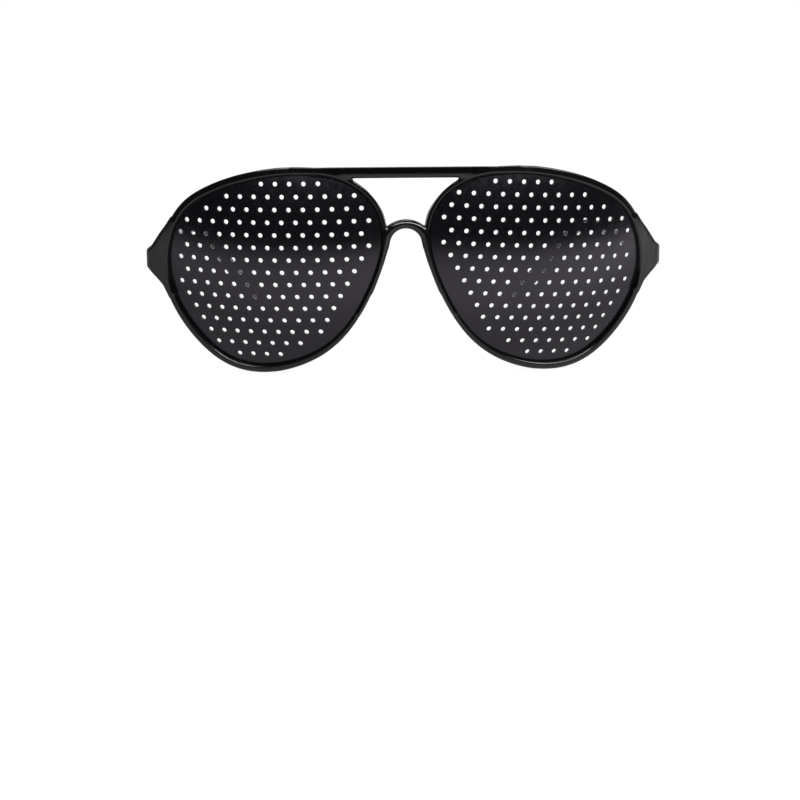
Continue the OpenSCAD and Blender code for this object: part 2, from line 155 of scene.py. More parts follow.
@dataclass
class Skin:
    """A quad mesh on the zero level of a distance field.

    Attributes:
        shape: The field, in millimetres.
        low: Lowest corner of the room that is searched.
        high: Highest corner of that room.
        step: Size of the mesh's cells.
        block: Cells along each side of a block that is searched or skipped whole.
    """

    shape: Field
    low: Points
    high: Points
    step: float = 0.25
    block: int = 8

    def sample(self) -> Points:
        """Fills a grid with the field, exactly near the skin and by sign elsewhere."""
        cells = np.ceil((self.high - self.low) / self.step / self.block).astype(int) * self.block
        grid = np.empty(cells + 1, np.float32)
        counts = cells // self.block
        blocks = np.stack(np.meshgrid(*map(np.arange, counts), indexing="ij"), -1).reshape(-1, 3)
        centres = self.low + (blocks + 0.5) * self.block * self.step
        middle = self.shape(centres)
        reach = self.block * self.step * math.sqrt(3) / 2 * 1.35
        coarse = middle.reshape(counts)
        for axis in range(3):
            coarse = np.repeat(coarse, self.block, axis)
        grid[:-1, :-1, :-1] = coarse
        for axis in range(3):
            last = [slice(None)] * 3
            prior = [slice(None)] * 3
            last[axis], prior[axis] = -1, -2
            grid[tuple(last)] = grid[tuple(prior)]
        corner = np.stack(
            np.meshgrid(*[np.arange(self.block + 1)] * 3, indexing="ij"), -1
        ).reshape(-1, 3)
        near = blocks[np.abs(middle) < reach]
        for start in range(0, len(near), 400):
            index = (near[start : start + 400, None] * self.block + corner).reshape(-1, 3)
            value = self.shape(self.low + index * self.step)
            grid[index[:, 0], index[:, 1], index[:, 2]] = value
        return grid

    def net(self, grid: Points) -> tuple[Points, Points]:
        """Places a vertex in each crossed cell and a quad on each crossed grid edge.

        Args:
            grid: The sampled field.

        Returns:
            Vertices in millimetres and quads as rows of four vertex numbers.
        """
        inside = grid < 0
        cell = tuple(n - 1 for n in grid.shape)
        corners = [(i, j, k) for i in (0, 1) for j in (0, 1) for k in (0, 1)]
        parts = [inside[i : i + cell[0], j : j + cell[1], k : k + cell[2]] for i, j, k in corners]
        mixed = np.logical_or.reduce(parts) & ~np.logical_and.reduce(parts)
        where = np.argwhere(mixed)
        number = np.full(cell, -1, np.int32)
        number[tuple(where.T)] = np.arange(len(where))
        total = np.zeros((len(where), 3))
        count = np.zeros(len(where))
        for a in corners:
            for axis in range(3):
                if a[axis]:
                    continue
                b = list(a)
                b[axis] = 1
                da = grid[tuple((where + a).T)].astype(float)
                db = grid[tuple((where + b).T)].astype(float)
                cut = (da < 0) != (db < 0)
                t = np.where(cut, da / np.where(cut, da - db, 1.0), 0.0)
                place = np.tile(np.array(a, float), (len(where), 1))
                place[:, axis] += t
                total += place * cut[:, None]
                count += cut
        vertices = self.low + (where + total / count[:, None]) * self.step
        quads = [self._faces(inside, number, axis) for axis in range(3)]
        return vertices, np.concatenate(quads)

    @staticmethod
    def _faces(inside: Points, number: Points, axis: int) -> Points:
        """Quads across the grid edges that run along one axis."""
        u, v = (axis + 1) % 3, (axis + 2) % 3
        a = np.take(inside, range(inside.shape[axis] - 1), axis)
        b = np.take(inside, range(1, inside.shape[axis]), axis)
        edge = np.argwhere(a != b)
        edge = edge[(edge[:, u] > 0) & (edge[:, v] > 0)]
        edge = edge[(edge[:, u] < number.shape[u]) & (edge[:, v] < number.shape[v])]
        starts = a[tuple(edge.T)]
        ring = []
        for du, dv in ((0, 0), (-1, 0), (-1, -1), (0, -1)):
            place = edge.copy()
            place[:, u] += du
            place[:, v] += dv
            ring.append(number[tuple(place.T)])
        quads = np.stack(ring, 1)
        quads[~starts] = quads[~starts][:, ::-1]
        return quads

    def settle(self, vertices: Points, passes: int = 4) -> Points:
        """Draws vertices onto the zero level along the field's slope."""
        reach = self.step * 0.1
        for _ in range(passes):
            value = self.shape(vertices)
            slope = np.stack(
                [
                    (self.shape(vertices + d) - self.shape(vertices - d)) / (2 * reach)
                    for d in np.eye(3) * reach
                ],
                1,
            )
            size = np.maximum((slope * slope).sum(1), 0.2)
            move = slope * (value / size)[:, None]
            length = np.linalg.norm(move, axis=1)
            cap = np.minimum(1.0, self.step * 0.5 / np.maximum(length, 1e-9))
            vertices = vertices - move * cap[:, None]
        return vertices

    def relax(self, vertices: Points, quads: Points, passes: int = 3) -> Points:
        """Evens out the quads' sizes, then settles the vertices again."""
        edges = np.concatenate([quads[:, [0, 1]], quads[:, [1, 2]], quads[:, [2, 3]], quads[:, [3, 0]]])
        for _ in range(passes):
            total = np.zeros_like(vertices)
            count = np.zeros(len(vertices))
            np.add.at(total, edges[:, 0], vertices[edges[:, 1]])
            np.add.at(count, edges[:, 0], 1)
            vertices = vertices * 0.5 + total / count[:, None] * 0.5
            vertices = self.settle(vertices, 1)
        return vertices

    def build(self) -> tuple[Points, Points]:
        """Meshes the field.

        Returns:
            Vertices in millimetres and quads.
        """
        vertices, quads = self.net(self.sample())
        vertices = self.settle(vertices, 2)
        vertices = self.relax(vertices, quads)
        return self.settle(vertices, 2), quads


def mesh_piece(name: str, vertices: Points, quads: Points) -> bpy.types.Object:
    """Makes a smooth-shaded object from vertices in metres.

    Args:
        name: The object's name.
        vertices: Vertex places in the row frame.
        quads: Rows of four vertex numbers, wound outwards.

    Returns:
        The new object, linked to the scene.
    """
    mesh = bpy.data.meshes.new(name)
    mesh.from_pydata(vertices.tolist(), [], quads.tolist())
    mesh.polygons.foreach_set("use_smooth", np.ones(len(quads), bool))
    mesh.update()
    piece = bpy.data.objects.new(name, mesh)
    bpy.context.scene.collection.objects.link(piece)
    return piece


# Finishes


@dataclass(frozen=True)
class Finish:
    """One material, with its fine texture worked out in nodes.

    Attributes:
        name: The material's name.
        surface: Which kind of fine texture it has.
        colour: Linear base colour.
        roughness: Mean roughness.
        spread: How far the roughness wanders either way.
        metallic: 1 for bare metal.
        relief: Height of the fine texture, in millimetres.
        grain: Size of that texture, in millimetres.
        specular: Specular level of the shader.
        tint: Colour of the reflections.
    """

    name: str
    surface: Surface
    colour: tuple[float, float, float]
    roughness: float
    spread: float
    metallic: float = 0.0
    relief: float = 0.004
    grain: float = 3.0
    specular: float = 0.5
    tint: tuple[float, float, float] = (1.0, 1.0, 1.0)

    def material(self) -> bpy.types.Material:
        """Builds the node material, once for each finish."""
        found = bpy.data.materials.get(self.name)
        if found:
            return found
        made = bpy.data.materials.new(self.name)
        made.use_nodes = True
        tree = made.node_tree
        shader = tree.nodes["Principled BSDF"]
        shader.inputs["Metallic"].default_value = self.metallic
        shader.inputs["Specular IOR Level"].default_value = self.specular
        shader.inputs["Specular Tint"].default_value = (*self.tint, 1.0)
        place = tree.nodes.new("ShaderNodeTexCoord").outputs["Object"]
        self._colour(tree, shader, place)
        self._roughness(tree, shader, place)
        self._relief(tree, shader, place)
        return made

    def _noise(
        self, tree: bpy.types.NodeTree, place: bpy.types.NodeSocket, size: float, detail: float
    ) -> bpy.types.NodeSocket:
        """A noise whose patches are size millimetres across."""
        noise = tree.nodes.new("ShaderNodeTexNoise")
        noise.inputs["Scale"].default_value = 1 / (size * MM)
        noise.inputs["Detail"].default_value = detail
        tree.links.new(place, noise.inputs["Vector"])
        return noise.outputs["Fac"]

    def _remap(
        self, tree: bpy.types.NodeTree, value: bpy.types.NodeSocket, low: float, high: float
    ) -> bpy.types.NodeSocket:
        """Spreads a noise from low to high."""
        spread = tree.nodes.new("ShaderNodeMapRange")
        spread.inputs["From Min"].default_value = 0.3
        spread.inputs["From Max"].default_value = 0.7
        spread.inputs["To Min"].default_value = low
        spread.inputs["To Max"].default_value = high
        tree.links.new(value, spread.inputs["Value"])
        return spread.outputs["Result"]

    def _colour(
        self, tree: bpy.types.NodeTree, shader: bpy.types.Node, place: bpy.types.NodeSocket
    ) -> None:
        """Varies the base colour a little, as pigment in a moulding does."""
        mix = tree.nodes.new("ShaderNodeMix")
        mix.data_type = "RGBA"
        mix.inputs["A"].default_value = (*[c * 0.8 for c in self.colour], 1)
        mix.inputs["B"].default_value = (*[c * 1.25 for c in self.colour], 1)
        tree.links.new(self._noise(tree, place, self.grain * 4, 3), mix.inputs["Factor"])
        tree.links.new(mix.outputs["Result"], shader.inputs["Base Color"])

    def _roughness(
        self, tree: bpy.types.NodeTree, shader: bpy.types.Node, place: bpy.types.NodeSocket
    ) -> None:
        """Lets the gloss wander: handling haze on plastic, brushing on metal."""
        if self.surface is Surface.METAL:
            stretch = tree.nodes.new("ShaderNodeMapping")
            stretch.inputs["Scale"].default_value = (1.0, 0.12, 1.0)
            tree.links.new(place, stretch.inputs["Vector"])
            place = stretch.outputs["Vector"]
        value = self._noise(tree, place, self.grain, 6)
        result = self._remap(
            tree, value, self.roughness - self.spread, self.roughness + self.spread
        )
        tree.links.new(result, shader.inputs["Roughness"])

    def _relief(
        self, tree: bpy.types.NodeTree, shader: bpy.types.Node, place: bpy.types.NodeSocket
    ) -> None:
        """Adds the fine waviness of a polished mould, or the grain of a sheet or metal."""
        bump = tree.nodes.new("ShaderNodeBump")
        bump.inputs["Strength"].default_value = 1.0
        bump.inputs["Distance"].default_value = self.relief * MM
        size = self.grain if self.surface is Surface.MOULDED else self.grain / 4
        detail = 1.0 if self.surface is Surface.MOULDED else 5.0
        tree.links.new(self._noise(tree, place, size, detail), bump.inputs["Height"])
        tree.links.new(bump.outputs["Normal"], shader.inputs["Normal"])


GLOSSY_BLACK = Finish(
    "glossy_black_moulding", Surface.MOULDED, (0.0015, 0.0015, 0.0018), 0.12, 0.04
)
BLACK_SHEET = Finish(
    "black_lens_sheet", Surface.SHEET, (0.0015, 0.0013, 0.002), 0.21, 0.04,
    relief=0.0025, grain=1.6, specular=0.6, tint=(1.0, 0.92, 1.04),
)
PLATED_STEEL = Finish(
    "plated_hinge_steel", Surface.METAL, (0.62, 0.62, 0.64), 0.26, 0.08,
    metallic=1.0, relief=0.003, grain=0.4,
)
TURNED_STEEL = Finish(
    "turned_screw_steel", Surface.METAL, (0.68, 0.68, 0.7), 0.2, 0.06,
    metallic=1.0, relief=0.002, grain=0.25,
)


# Lens opening and its axes


@dataclass
class LensSeat:
    """The opening that holds a lens sheet, and where its axes lie in the row frame.

    Attributes:
        width: Width of the opening.
        height: Height of the opening.
        sphere: Radius of the sheet's front face.
        sheet: Thickness of the sheet.
        groove: Depth of the groove round the opening, less its edge clearance.
        wrap: Angle that the lens turns back towards its temple, in degrees.
        tilt: Angle that the front leans forward at the top, in degrees.
        handles: The points that draw the opening's outline.
        cell: Size of the cells in which distances to the outline are tabulated.
    """

    width: float = 63.1
    height: float = 56.8
    sphere: float = 73.0
    sheet: float = 1.0
    groove: float = 0.7
    wrap: float = 9.0
    tilt: float = 3.4
    handles: Points = field(
        default_factory=lambda: np.array(
            [[5, 24], [21.8, 18], [31.2, 10.5], [34.9, -8.1], [22.2, -27.3],
             [9.7, -34.9], [-13.6, -29.1], [-26, -12.2], [-33.7, 10.9], [-19.8, 25.2]]
        )
    )
    cell: float = 0.5

    def __post_init__(self) -> None:
        """Draws the outline, measures distances to it and finds the lens in the frame."""
        self.outline = self._stretched(self._curve(72), self._curve(9))
        self.turn = rotation("X", self.tilt) @ rotation("Z", self.wrap)
        self._table()
        self.origin = np.zeros(3)
        rim = self._grown(self._stretched(self._curve(9), self._curve(9)), self.groove)
        sheet = self.to_row(np.array([[s, self.front_depth(s, t), t] for s, t in rim]))
        low, high = (np.array(v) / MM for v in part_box("lens_left"))
        reach = sheet.max(0)
        floor = sheet.min(0)
        self.origin = np.array([high[0] - reach[0], 0.0, low[2] - floor[2]])
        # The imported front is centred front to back; its front-most point is on this sphere's rim
        self.origin[1] = self._set_back(high[1])

    def _curve(self, steps: int) -> Points:
        """Samples the closed curve through its handles."""
        h = self.handles
        t = np.arange(steps)[:, None] / steps
        rows = []
        for i in range(len(h)):
            a, b, c, d = (h[(i + k) % len(h)] for k in (-1, 0, 1, 2))
            rows.append(
                ((1 - t) ** 3 * a + (3 * t**3 - 6 * t**2 + 4) * b
                 + (-3 * t**3 + 3 * t**2 + 3 * t + 1) * c + t**3 * d) / 6
            )
        return np.concatenate(rows)

    def _stretched(self, curve: Points, gauge: Points) -> Points:
        """Stretches a curve by what brings the gauge to the opening's width and height."""
        low, high = gauge.min(0), gauge.max(0)
        middle = (low + high) / 2
        return middle + (curve - middle) * np.array([self.width, self.height]) / (high - low)

    @staticmethod
    def _grown(curve: Points, by: float) -> Points:
        """Moves a clockwise curve outwards along its normals."""
        along = np.roll(curve, -1, 0) - np.roll(curve, 1, 0)
        along /= np.linalg.norm(along, axis=1)[:, None]
        return curve + by * np.stack([-along[:, 1], along[:, 0]], 1)

    def _table(self) -> None:
        """Tabulates the signed distance to the outline on a square grid."""
        self.low = self.outline.min(0) - 9.0
        high = self.outline.max(0) + 9.0
        counts = np.ceil((high - self.low) / self.cell).astype(int) + 1
        s, t = (self.low[i] + np.arange(counts[i]) * self.cell for i in (0, 1))
        grid_s, grid_t = np.meshgrid(s, t, indexing="ij")
        self.distances = polygon_distance(grid_s, grid_t, self.outline[::3])

    def edge_distance(self, s: Distances, t: Distances) -> Distances:
        """Signed distance to the opening's edge, smooth between the grid's points."""
        u = np.clip((s - self.low[0]) / self.cell, 1, self.distances.shape[0] - 3.001)
        v = np.clip((t - self.low[1]) / self.cell, 1, self.distances.shape[1] - 3.001)
        i, j = u.astype(int), v.astype(int)
        weights_u, weights_v = self._weights(u - i), self._weights(v - j)
        total = np.zeros_like(u)
        for a in range(4):
            row = sum(weights_v[b] * self.distances[i + a - 1, j + b - 1] for b in range(4))
            total += weights_u[a] * row
        return total

    @staticmethod
    def _weights(f: Distances) -> list[Distances]:
        """Catmull-Rom weights of four neighbours."""
        return [
            (-f + 2 * f**2 - f**3) / 2,
            (2 - 5 * f**2 + 3 * f**3) / 2,
            (f + 4 * f**2 - 3 * f**3) / 2,
            (-(f**2) + f**3) / 2,
        ]

    def front_depth(self, s: Distances, t: Distances) -> Distances:
        """Depth of the sheet's front face behind its crown."""
        return self.sphere - np.sqrt(self.sphere**2 - s**2 - t**2)

    def _set_back(self, sheet_back: float) -> float:
        """Where the lens axes sit front to back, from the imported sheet's rear-most point.

        Args:
            sheet_back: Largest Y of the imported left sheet.

        Returns:
            Y of the lens axes' origin.
        """
        edge = self._grown(self._stretched(self._curve(9), self._curve(9)), self.groove)
        inner = self.sphere - self.sheet
        depth = self.sphere - np.sqrt(inner**2 - (edge**2).sum(1))
        back = self.to_row(np.stack([edge[:, 0], depth, edge[:, 1]], 1))
        return sheet_back - back[:, 1].max()

    def to_row(self, local: Points) -> Points:
        """Left lens axes (outward, back, up) to the row frame, in millimetres."""
        return local @ self.turn.T + self.origin

    def to_local(self, row: Points) -> Points:
        """The row frame to the left lens axes, in millimetres."""
        return (row - self.origin) @ self.turn


# Front moulding


@dataclass
class FrontMoulding:
    """Rims, brow bar, nose arch, nose pads and end pieces, as one glossy moulding.

    Lengths are in millimetres; heights named rise or drop count from the lens axes.

    Attributes:
        rim_sphere: Radius of the rims' front faces.
        rim_proud: How far those faces stand in front of the sheets' crowns.
        rim_back: Plastic behind each sheet.
        lip: How far outside the opening's edge the crest of the lip lies.
        cover: How far outside that edge the lip meets the sheet.
        lip_round: Width of the lip's rounded crest.
        draft: Slope of the rims' outer walls, in degrees.
        crown_draft: What the slope gains along the tops, in degrees.
        crown_span: Heights between which the rim takes on the shape of its top.
        edge_round: Width of the rounding in front of the outer walls.
        crown_round: What that width loses along the tops.
        bar_ahead: How far the bar's front lies ahead of its ends.
        bar_flush: Stretch before each end in which the front falls back.
        bar_sink: Stretch before each end in which the top sinks.
        bar_fall: Slope of the bar's top to the rear.
        leg: Inner corners of the arch's leg, across and up.
        leg_shift: From the inner corners to the middle of the leg.
        foot: Where the leg runs out along the rim, across and up.
    """

    seat: LensSeat
    hinge: Points
    slope: float
    rim_width: float = 3.2
    rim_nose_width: float = 2.1
    rim_sphere: float = 78.0
    rim_proud: float = 0.8
    rim_back: float = 1.2
    lip: float = 1.22
    cover: float = 0.45
    lip_round: float = 0.5
    draft: float = 3.0
    crown_draft: float = 8.0
    crown_span: tuple[float, float] = (13.0, 19.0)
    edge_round: float = 0.9
    crown_round: float = 0.6
    bar_height: float = 3.3
    bar_depth: float = 3.4
    bar_drop: float = 0.27
    bar_ahead: float = 1.3
    bar_rear: float = 3.05
    bar_flush: tuple[float, float] = (10.0, 0.5)
    bar_sink: tuple[float, float] = (11.0, 1.0)
    bar_fall: float = 0.16
    crown_rise: float = 11.7
    arch_radius: float = 4.7
    arch_outer: float = 8.59
    arch_centre_rise: float = 4.2
    arch_depth: float = 3.4
    leg: Points = field(default_factory=lambda: np.array([[4.7, 4.2], [6.3, -1.0], [9.6, -9.5]]))
    leg_shift: Points = field(default_factory=lambda: np.array([1.5, 0.3]))
    leg_half: float = 1.6
    foot: Points = field(default_factory=lambda: np.array([14.2, -16.0]))
    foot_half: float = 1.0
    pad_length: float = 15.0
    pad_depth: float = 7.0
    pad_thickness: float = 1.8
    pad_lean: float = 19.0
    pad_splay: float = 24.0
    end_height: float = 6.0
    end_drop: float = 1.2
    end_thickness: float = 4.2
    temple_height: float = 6.0
    temple_thickness: float = 3.2
    axis_to_face: float = 1.0
    relief_radius: float = 1.3
    step: float = 0.25

    def __post_init__(self) -> None:
        """Works out the places that the shapes share."""
        low, high = (np.array(v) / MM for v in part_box("front_frame"))
        self.low, self.high = low, high
        self.half_width = high[0]
        self.top = high[2]
        self.lens_z = self.seat.origin[2]
        self.y0 = self.seat.origin[1]
        outline = self.seat.outline
        wide = LensSeat._grown(outline, self.rim_width) - outline
        edge = outline + wide * (self.width_here(outline[:, 0]) / self.rim_width)[:, None]
        depth = self.rim_front(np.hypot(edge[:, 0], edge[:, 1]))
        rim = self.seat.to_row(np.stack([edge[:, 0], depth, edge[:, 1]], 1))
        self.bar_end = rim[rim[:, 2].argmax()]
        self.nose_front = rim[np.abs(edge[:, 1]) < 1.5]
        self.nose_front = self.nose_front[self.nose_front[:, 0].argmin()]
        side = rim[(edge[:, 0] > 0) & (np.abs(edge[:, 1]) < 0.6)][0]
        self.rim_end = side
        self.root_top = rim[(edge[:, 0] > 0)][np.abs(edge[edge[:, 0] > 0][:, 1] - 11).argmin()]
        self.root_low = rim[(edge[:, 0] > 0)][np.abs(edge[edge[:, 0] > 0][:, 1] + 13).argmin()]

    def width_here(self, s: Distances) -> Distances:
        """The rim's width, which narrows evenly from the middle of the lens to the nose."""
        share = np.clip(-2 * s / self.seat.width, 0.0, 1.0)
        return self.rim_width + (self.rim_nose_width - self.rim_width) * share

    def rim_front(self, r: Distances) -> Distances:
        """Depth of the rim's front face at radius r from the lens axis."""
        return self.rim_sphere - np.sqrt(self.rim_sphere**2 - r**2) - self.rim_proud

    def rim_rear(self, r: Distances) -> Distances:
        """Depth of the rim's rear face at radius r from the lens axis."""
        inner = self.seat.sphere - self.seat.sheet - self.rim_back
        return self.seat.sphere - np.sqrt(np.maximum(inner**2 - r**2, 1.0))

    def rim(self, local: Points) -> tuple[Distances, Distances]:
        """The rim's field and the opening's field.

        Args:
            local: Points in the lens axes.

        Returns:
            Distances to the rim and to the wall of the opening, which is negative in the plastic.
        """
        s, y, t = local.T
        r = np.minimum(np.hypot(s, t), 60.0)
        edge = self.seat.edge_distance(s, t)
        front = self.rim_front(r)
        rear = self.rim_rear(r)
        sheet = self.seat.sphere - np.sqrt(self.seat.sphere**2 - r**2)
        opening = np.clip((sheet - y) / np.maximum(sheet - front, 0.5), 0.0, 1.6)
        # The wall stands square to the sheet and covers its edge
        wall = (self.cover + (self.lip - self.cover) * opening - edge) * 0.82
        crown = smoothstep(*self.crown_span, t)
        draft = np.tan(np.radians(self.draft + self.crown_draft * crown))
        outer = edge - self.width_here(s) + np.maximum(y - front - 0.5, 0.0) * draft
        face = (front - y) * 0.93
        back = (y - rear) * 0.93
        body = soft_max(face, outer, self.edge_round - self.crown_round * crown)
        body = soft_max(body, back, 1.0)
        body = soft_max(body, wall, self.lip_round)
        return body, wall

    def bar(self, p: Points) -> Distances:
        """The brow bar between the tops of the rims."""
        x, y, z = p.T
        end, end_y, _ = self.bar_end
        sink = smoothstep(end - self.bar_sink[0], end - self.bar_sink[1], x)
        # The rims' faces come forward towards the nose, and the bar's front is flush with them
        flush = smoothstep(end - self.bar_flush[0], end - self.bar_flush[1], x)
        front = end_y - self.bar_ahead + (self.bar_ahead + 0.05) * flush
        rear = end_y + self.bar_rear
        bottom = self.top - self.bar_drop - self.bar_height
        # The section is taller than the bar, so that its top can be cut off flat
        half = self.bar_height / 2 + 0.8
        up = np.abs(z - (bottom + half)) / half
        deep = np.abs(2 * y - front - rear) / (rear - front)
        section = ((up**4 + deep**4) ** 0.25 - 1.0) * self.bar_depth / 2
        # The top falls a little to the rear, and sinks at the ends to run out in the rims
        top = z - (self.top - 0.12 - 0.3 * sink) + self.bar_fall * (y - front)
        section = soft_max(section, top, 0.25)
        return soft_max(section, x - end, 0.6)

    def arch(self, p: Points) -> Distances:
        """The nose arch with its two legs."""
        x, y, z = p.T
        rise = z - self.lens_z
        gap = np.hypot(x, rise - self.arch_centre_rise) - self.arch_radius
        throat = np.array([[0, self.arch_centre_rise], *self.leg, [15.2, -19.0], [0, -19.0]])
        gap = soft_min(gap, polygon_distance(x, rise, throat), 0.4)
        outer = np.hypot(x, rise - (self.crown_rise - self.arch_outer)) - self.arch_outer
        outer = np.maximum(outer, self.arch_centre_rise - 1.0 - rise)
        middles = self.leg + self.leg_shift
        leg = segment_distance(x, rise, middles[-1], self.foot) - self.foot_half
        for a, b in zip(middles[:-1], middles[1:]):
            leg = np.minimum(leg, segment_distance(x, rise, a, b) - self.leg_half)
        shape = soft_max(soft_min(outer, leg, 0.8), -gap, 0.3)
        middle = self.nose_front[1] - 0.1 + self.arch_depth / 2
        deep = np.abs(y - middle) - self.arch_depth / 2
        return soft_max(shape, deep, 1.9)

    def end_piece(self, p: Points) -> Distances:
        """The end piece that flares from the rim to the hinge."""
        x, y, z = p.T
        top = self.lens_z - self.end_drop + self.end_height / 2
        low = self.lens_z - self.end_drop - self.end_height / 2
        edge = self.half_width
        root, rtop, rlow = self.rim_end[0], self.root_top, self.root_low
        front = np.array(
            [[rtop[0] - 2, rtop[2] - 1], [root - 7, self.lens_z], [rlow[0] - 2, rlow[2] + 1],
             [rlow[0] - 0.3, rlow[2]], [root - 0.4, low - 4.8], [root + 1.7, low - 2.4],
             [edge - 1.3, low - 0.7], [edge - 0.2, low + 1], [edge, top - 0.6],
             [edge - 0.5, top + 0.1], [root + 3.05, top + 1.3], [root + 0.55, top + 5.1],
             [rtop[0] + 0.1, rtop[2]]]
        )
        shape = polygon_distance(x, z, front)
        leant = y - self.y0 + (z - self.lens_z) * math.tan(math.radians(self.seat.tilt))
        rim_y = self.rim_end[1] - self.y0
        reach = edge - root
        hinge_y = self.hinge[1] - self.y0
        plan = np.array(
            [[root - 7, rim_y - 3.36], [edge - 2, rim_y + (reach - 2) * 0.48],
             [edge - 0.6, rim_y + (reach - 2) * 0.48 + 1.1],
             [edge, rim_y + (reach - 2) * 0.48 + 2.6], [edge, hinge_y - 3],
             [self.hinge[0] + self.axis_to_face, hinge_y - 3],
             [self.hinge[0] + self.axis_to_face, rim_y + self.end_thickness + 1],
             [root - 1, rim_y + self.end_thickness - 0.5],
             [root - 7, rim_y + self.end_thickness - 3.36]]
        )
        body = soft_max(shape, polygon_distance(x, leant, plan), 1.1)
        return soft_min(body, self.hinge_block(p), 0.9)

    def hinge_block(self, p: Points) -> Distances:
        """The block that carries the front leaf and meets the temple's end."""
        h = (p - self.hinge) @ rotation("X", -self.slope)
        half = np.array([self.temple_thickness / 2, 2.95, self.temple_height / 2])
        middle = np.array([self.axis_to_face + half[0], -0.1 - half[1], 0.0])
        d = np.abs(h - middle) - half
        block = soft_max(soft_max(d[:, 0], d[:, 2], 1.2), d[:, 1], 0.35)
        return block

    def barrel_relief(self, p: Points) -> Distances:
        """The round clearance about the hinge axis."""
        h = (p - self.hinge) @ rotation("X", -self.slope)
        return self.relief_radius - np.hypot(h[:, 0], h[:, 1])

    def pad(self, p: Points) -> Distances:
        """A moulded nose pad behind the rim."""
        root = np.array([5.85, self.nose_front[1] + 2.56, self.lens_z + 2.2])
        turn = rotation("Y", -self.pad_lean) @ rotation("Z", -self.pad_splay)
        x, y, z = ((p - root) @ turn).T
        corner = 3.6
        half_y, half_z = self.pad_depth / 2, self.pad_length / 2
        dy = np.abs(y - half_y) - half_y + corner
        dz = np.abs(z + half_z) - half_z + corner
        round_plan = (
            np.hypot(np.maximum(dy, 0), np.maximum(dz, 0))
            + np.minimum(np.maximum(dy, dz), 0) - corner
        )
        thick = np.abs(x - self.pad_thickness / 2) - self.pad_thickness / 2
        return soft_max(round_plan, thick, 1.5)

    def shape(self, p: Points) -> Distances:
        """The whole moulding's field; it is the same on both sides of X = 0."""
        q = p.copy()
        q[:, 0] = np.abs(q[:, 0])
        local = self.seat.to_local(q)
        body, wall = self.rim(local)
        body = np.where(q[:, 0] > 2.0, body, 3.0)
        parts = (
            (self.bar, q[:, 2] > self.top - 7, 0.8),
            (self.arch, (q[:, 0] < 17) & (np.abs(q[:, 2] - self.lens_z) < 20), 0.7),
            (self.end_piece, q[:, 0] > self.rim_end[0] - 14, 0.9),
        )
        result = body
        for part, near, fillet in parts:
            if near.any():
                result[near] = soft_min(result[near], part(q[near]), fillet)
        result = soft_max(result, np.where(q[:, 0] > 2.0, wall, -3.0), 0.35)
        near = q[:, 0] > self.hinge[0] - 4
        if near.any():
            result[near] = soft_max(result[near], self.barrel_relief(q[near]), 0.3)
        near = (q[:, 0] < 22) & (np.abs(q[:, 2] - self.lens_z + 4) < 16)
        if near.any():
            result[near] = soft_min(result[near], self.pad(q[near]), 0.9)
        return result

    def build(self) -> bpy.types.Object:
        """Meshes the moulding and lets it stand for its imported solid."""
        margin = 1.0
        reach = math.ceil((self.half_width + margin) / self.step / 8) * 8 * self.step
        low = np.array([-reach, self.low[1] - margin, self.low[2] - margin])
        high = np.array([reach, self.high[1] + margin, self.high[2] + margin])
        vertices, quads = Skin(self.shape, low, high, self.step).build()
        piece = mesh_piece("front_moulding", vertices * MM, quads)
        piece.data.materials.append(GLOSSY_BLACK.material())
        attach(piece, "front")
        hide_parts("front_frame")
        LOG.info("front_moulding: %d quads", len(quads))
        return piece


# Temples


@dataclass
class BentLine:
    """A straight run from the origin, an arc and a straight run, in a plane.

    Attributes:
        end: Where the line ends: along, and across to the side that it turns to.
        radius: Radius of the arc.
        angle: Angle of the arc, in degrees.
    """

    end: tuple[float, float]
    radius: float
    angle: float

    def __post_init__(self) -> None:
        """Finds where the arc starts and how long the line is."""
        self.turn = math.radians(self.angle)
        drop = self.radius * (1 - math.cos(self.turn))
        self.start = (
            self.end[0] - self.radius * math.sin(self.turn)
            - (self.end[1] - drop) / math.tan(self.turn)
        )
        last = math.hypot(
            self.end[0] - self.start - self.radius * math.sin(self.turn), self.end[1] - drop
        )
        self.length = self.start + self.radius * self.turn + last

    def measure(self, along: Distances, across: Distances) -> tuple[Distances, Distances]:
        """Path length and signed offset of each point; positive is outside the turn.

        Args:
            along: Coordinates along the straight start.
            across: Coordinates towards the side that the line turns to.

        Returns:
            Path lengths from the start and offsets from the line.
        """
        u = along - self.start
        v = self.radius - across
        angle = np.arctan2(u, v)
        arc_path = self.start + self.radius * angle
        arc_off = np.hypot(u, v) - self.radius
        c, s = math.cos(self.turn), math.sin(self.turn)
        end_path = self.start + self.radius * self.turn + u * c - v * s
        end_off = u * s + v * c - self.radius
        path = np.where(angle < 0, along, np.where(angle > self.turn, end_path, arc_path))
        off = np.where(angle < 0, -across, np.where(angle > self.turn, end_off, arc_off))
        return path, off


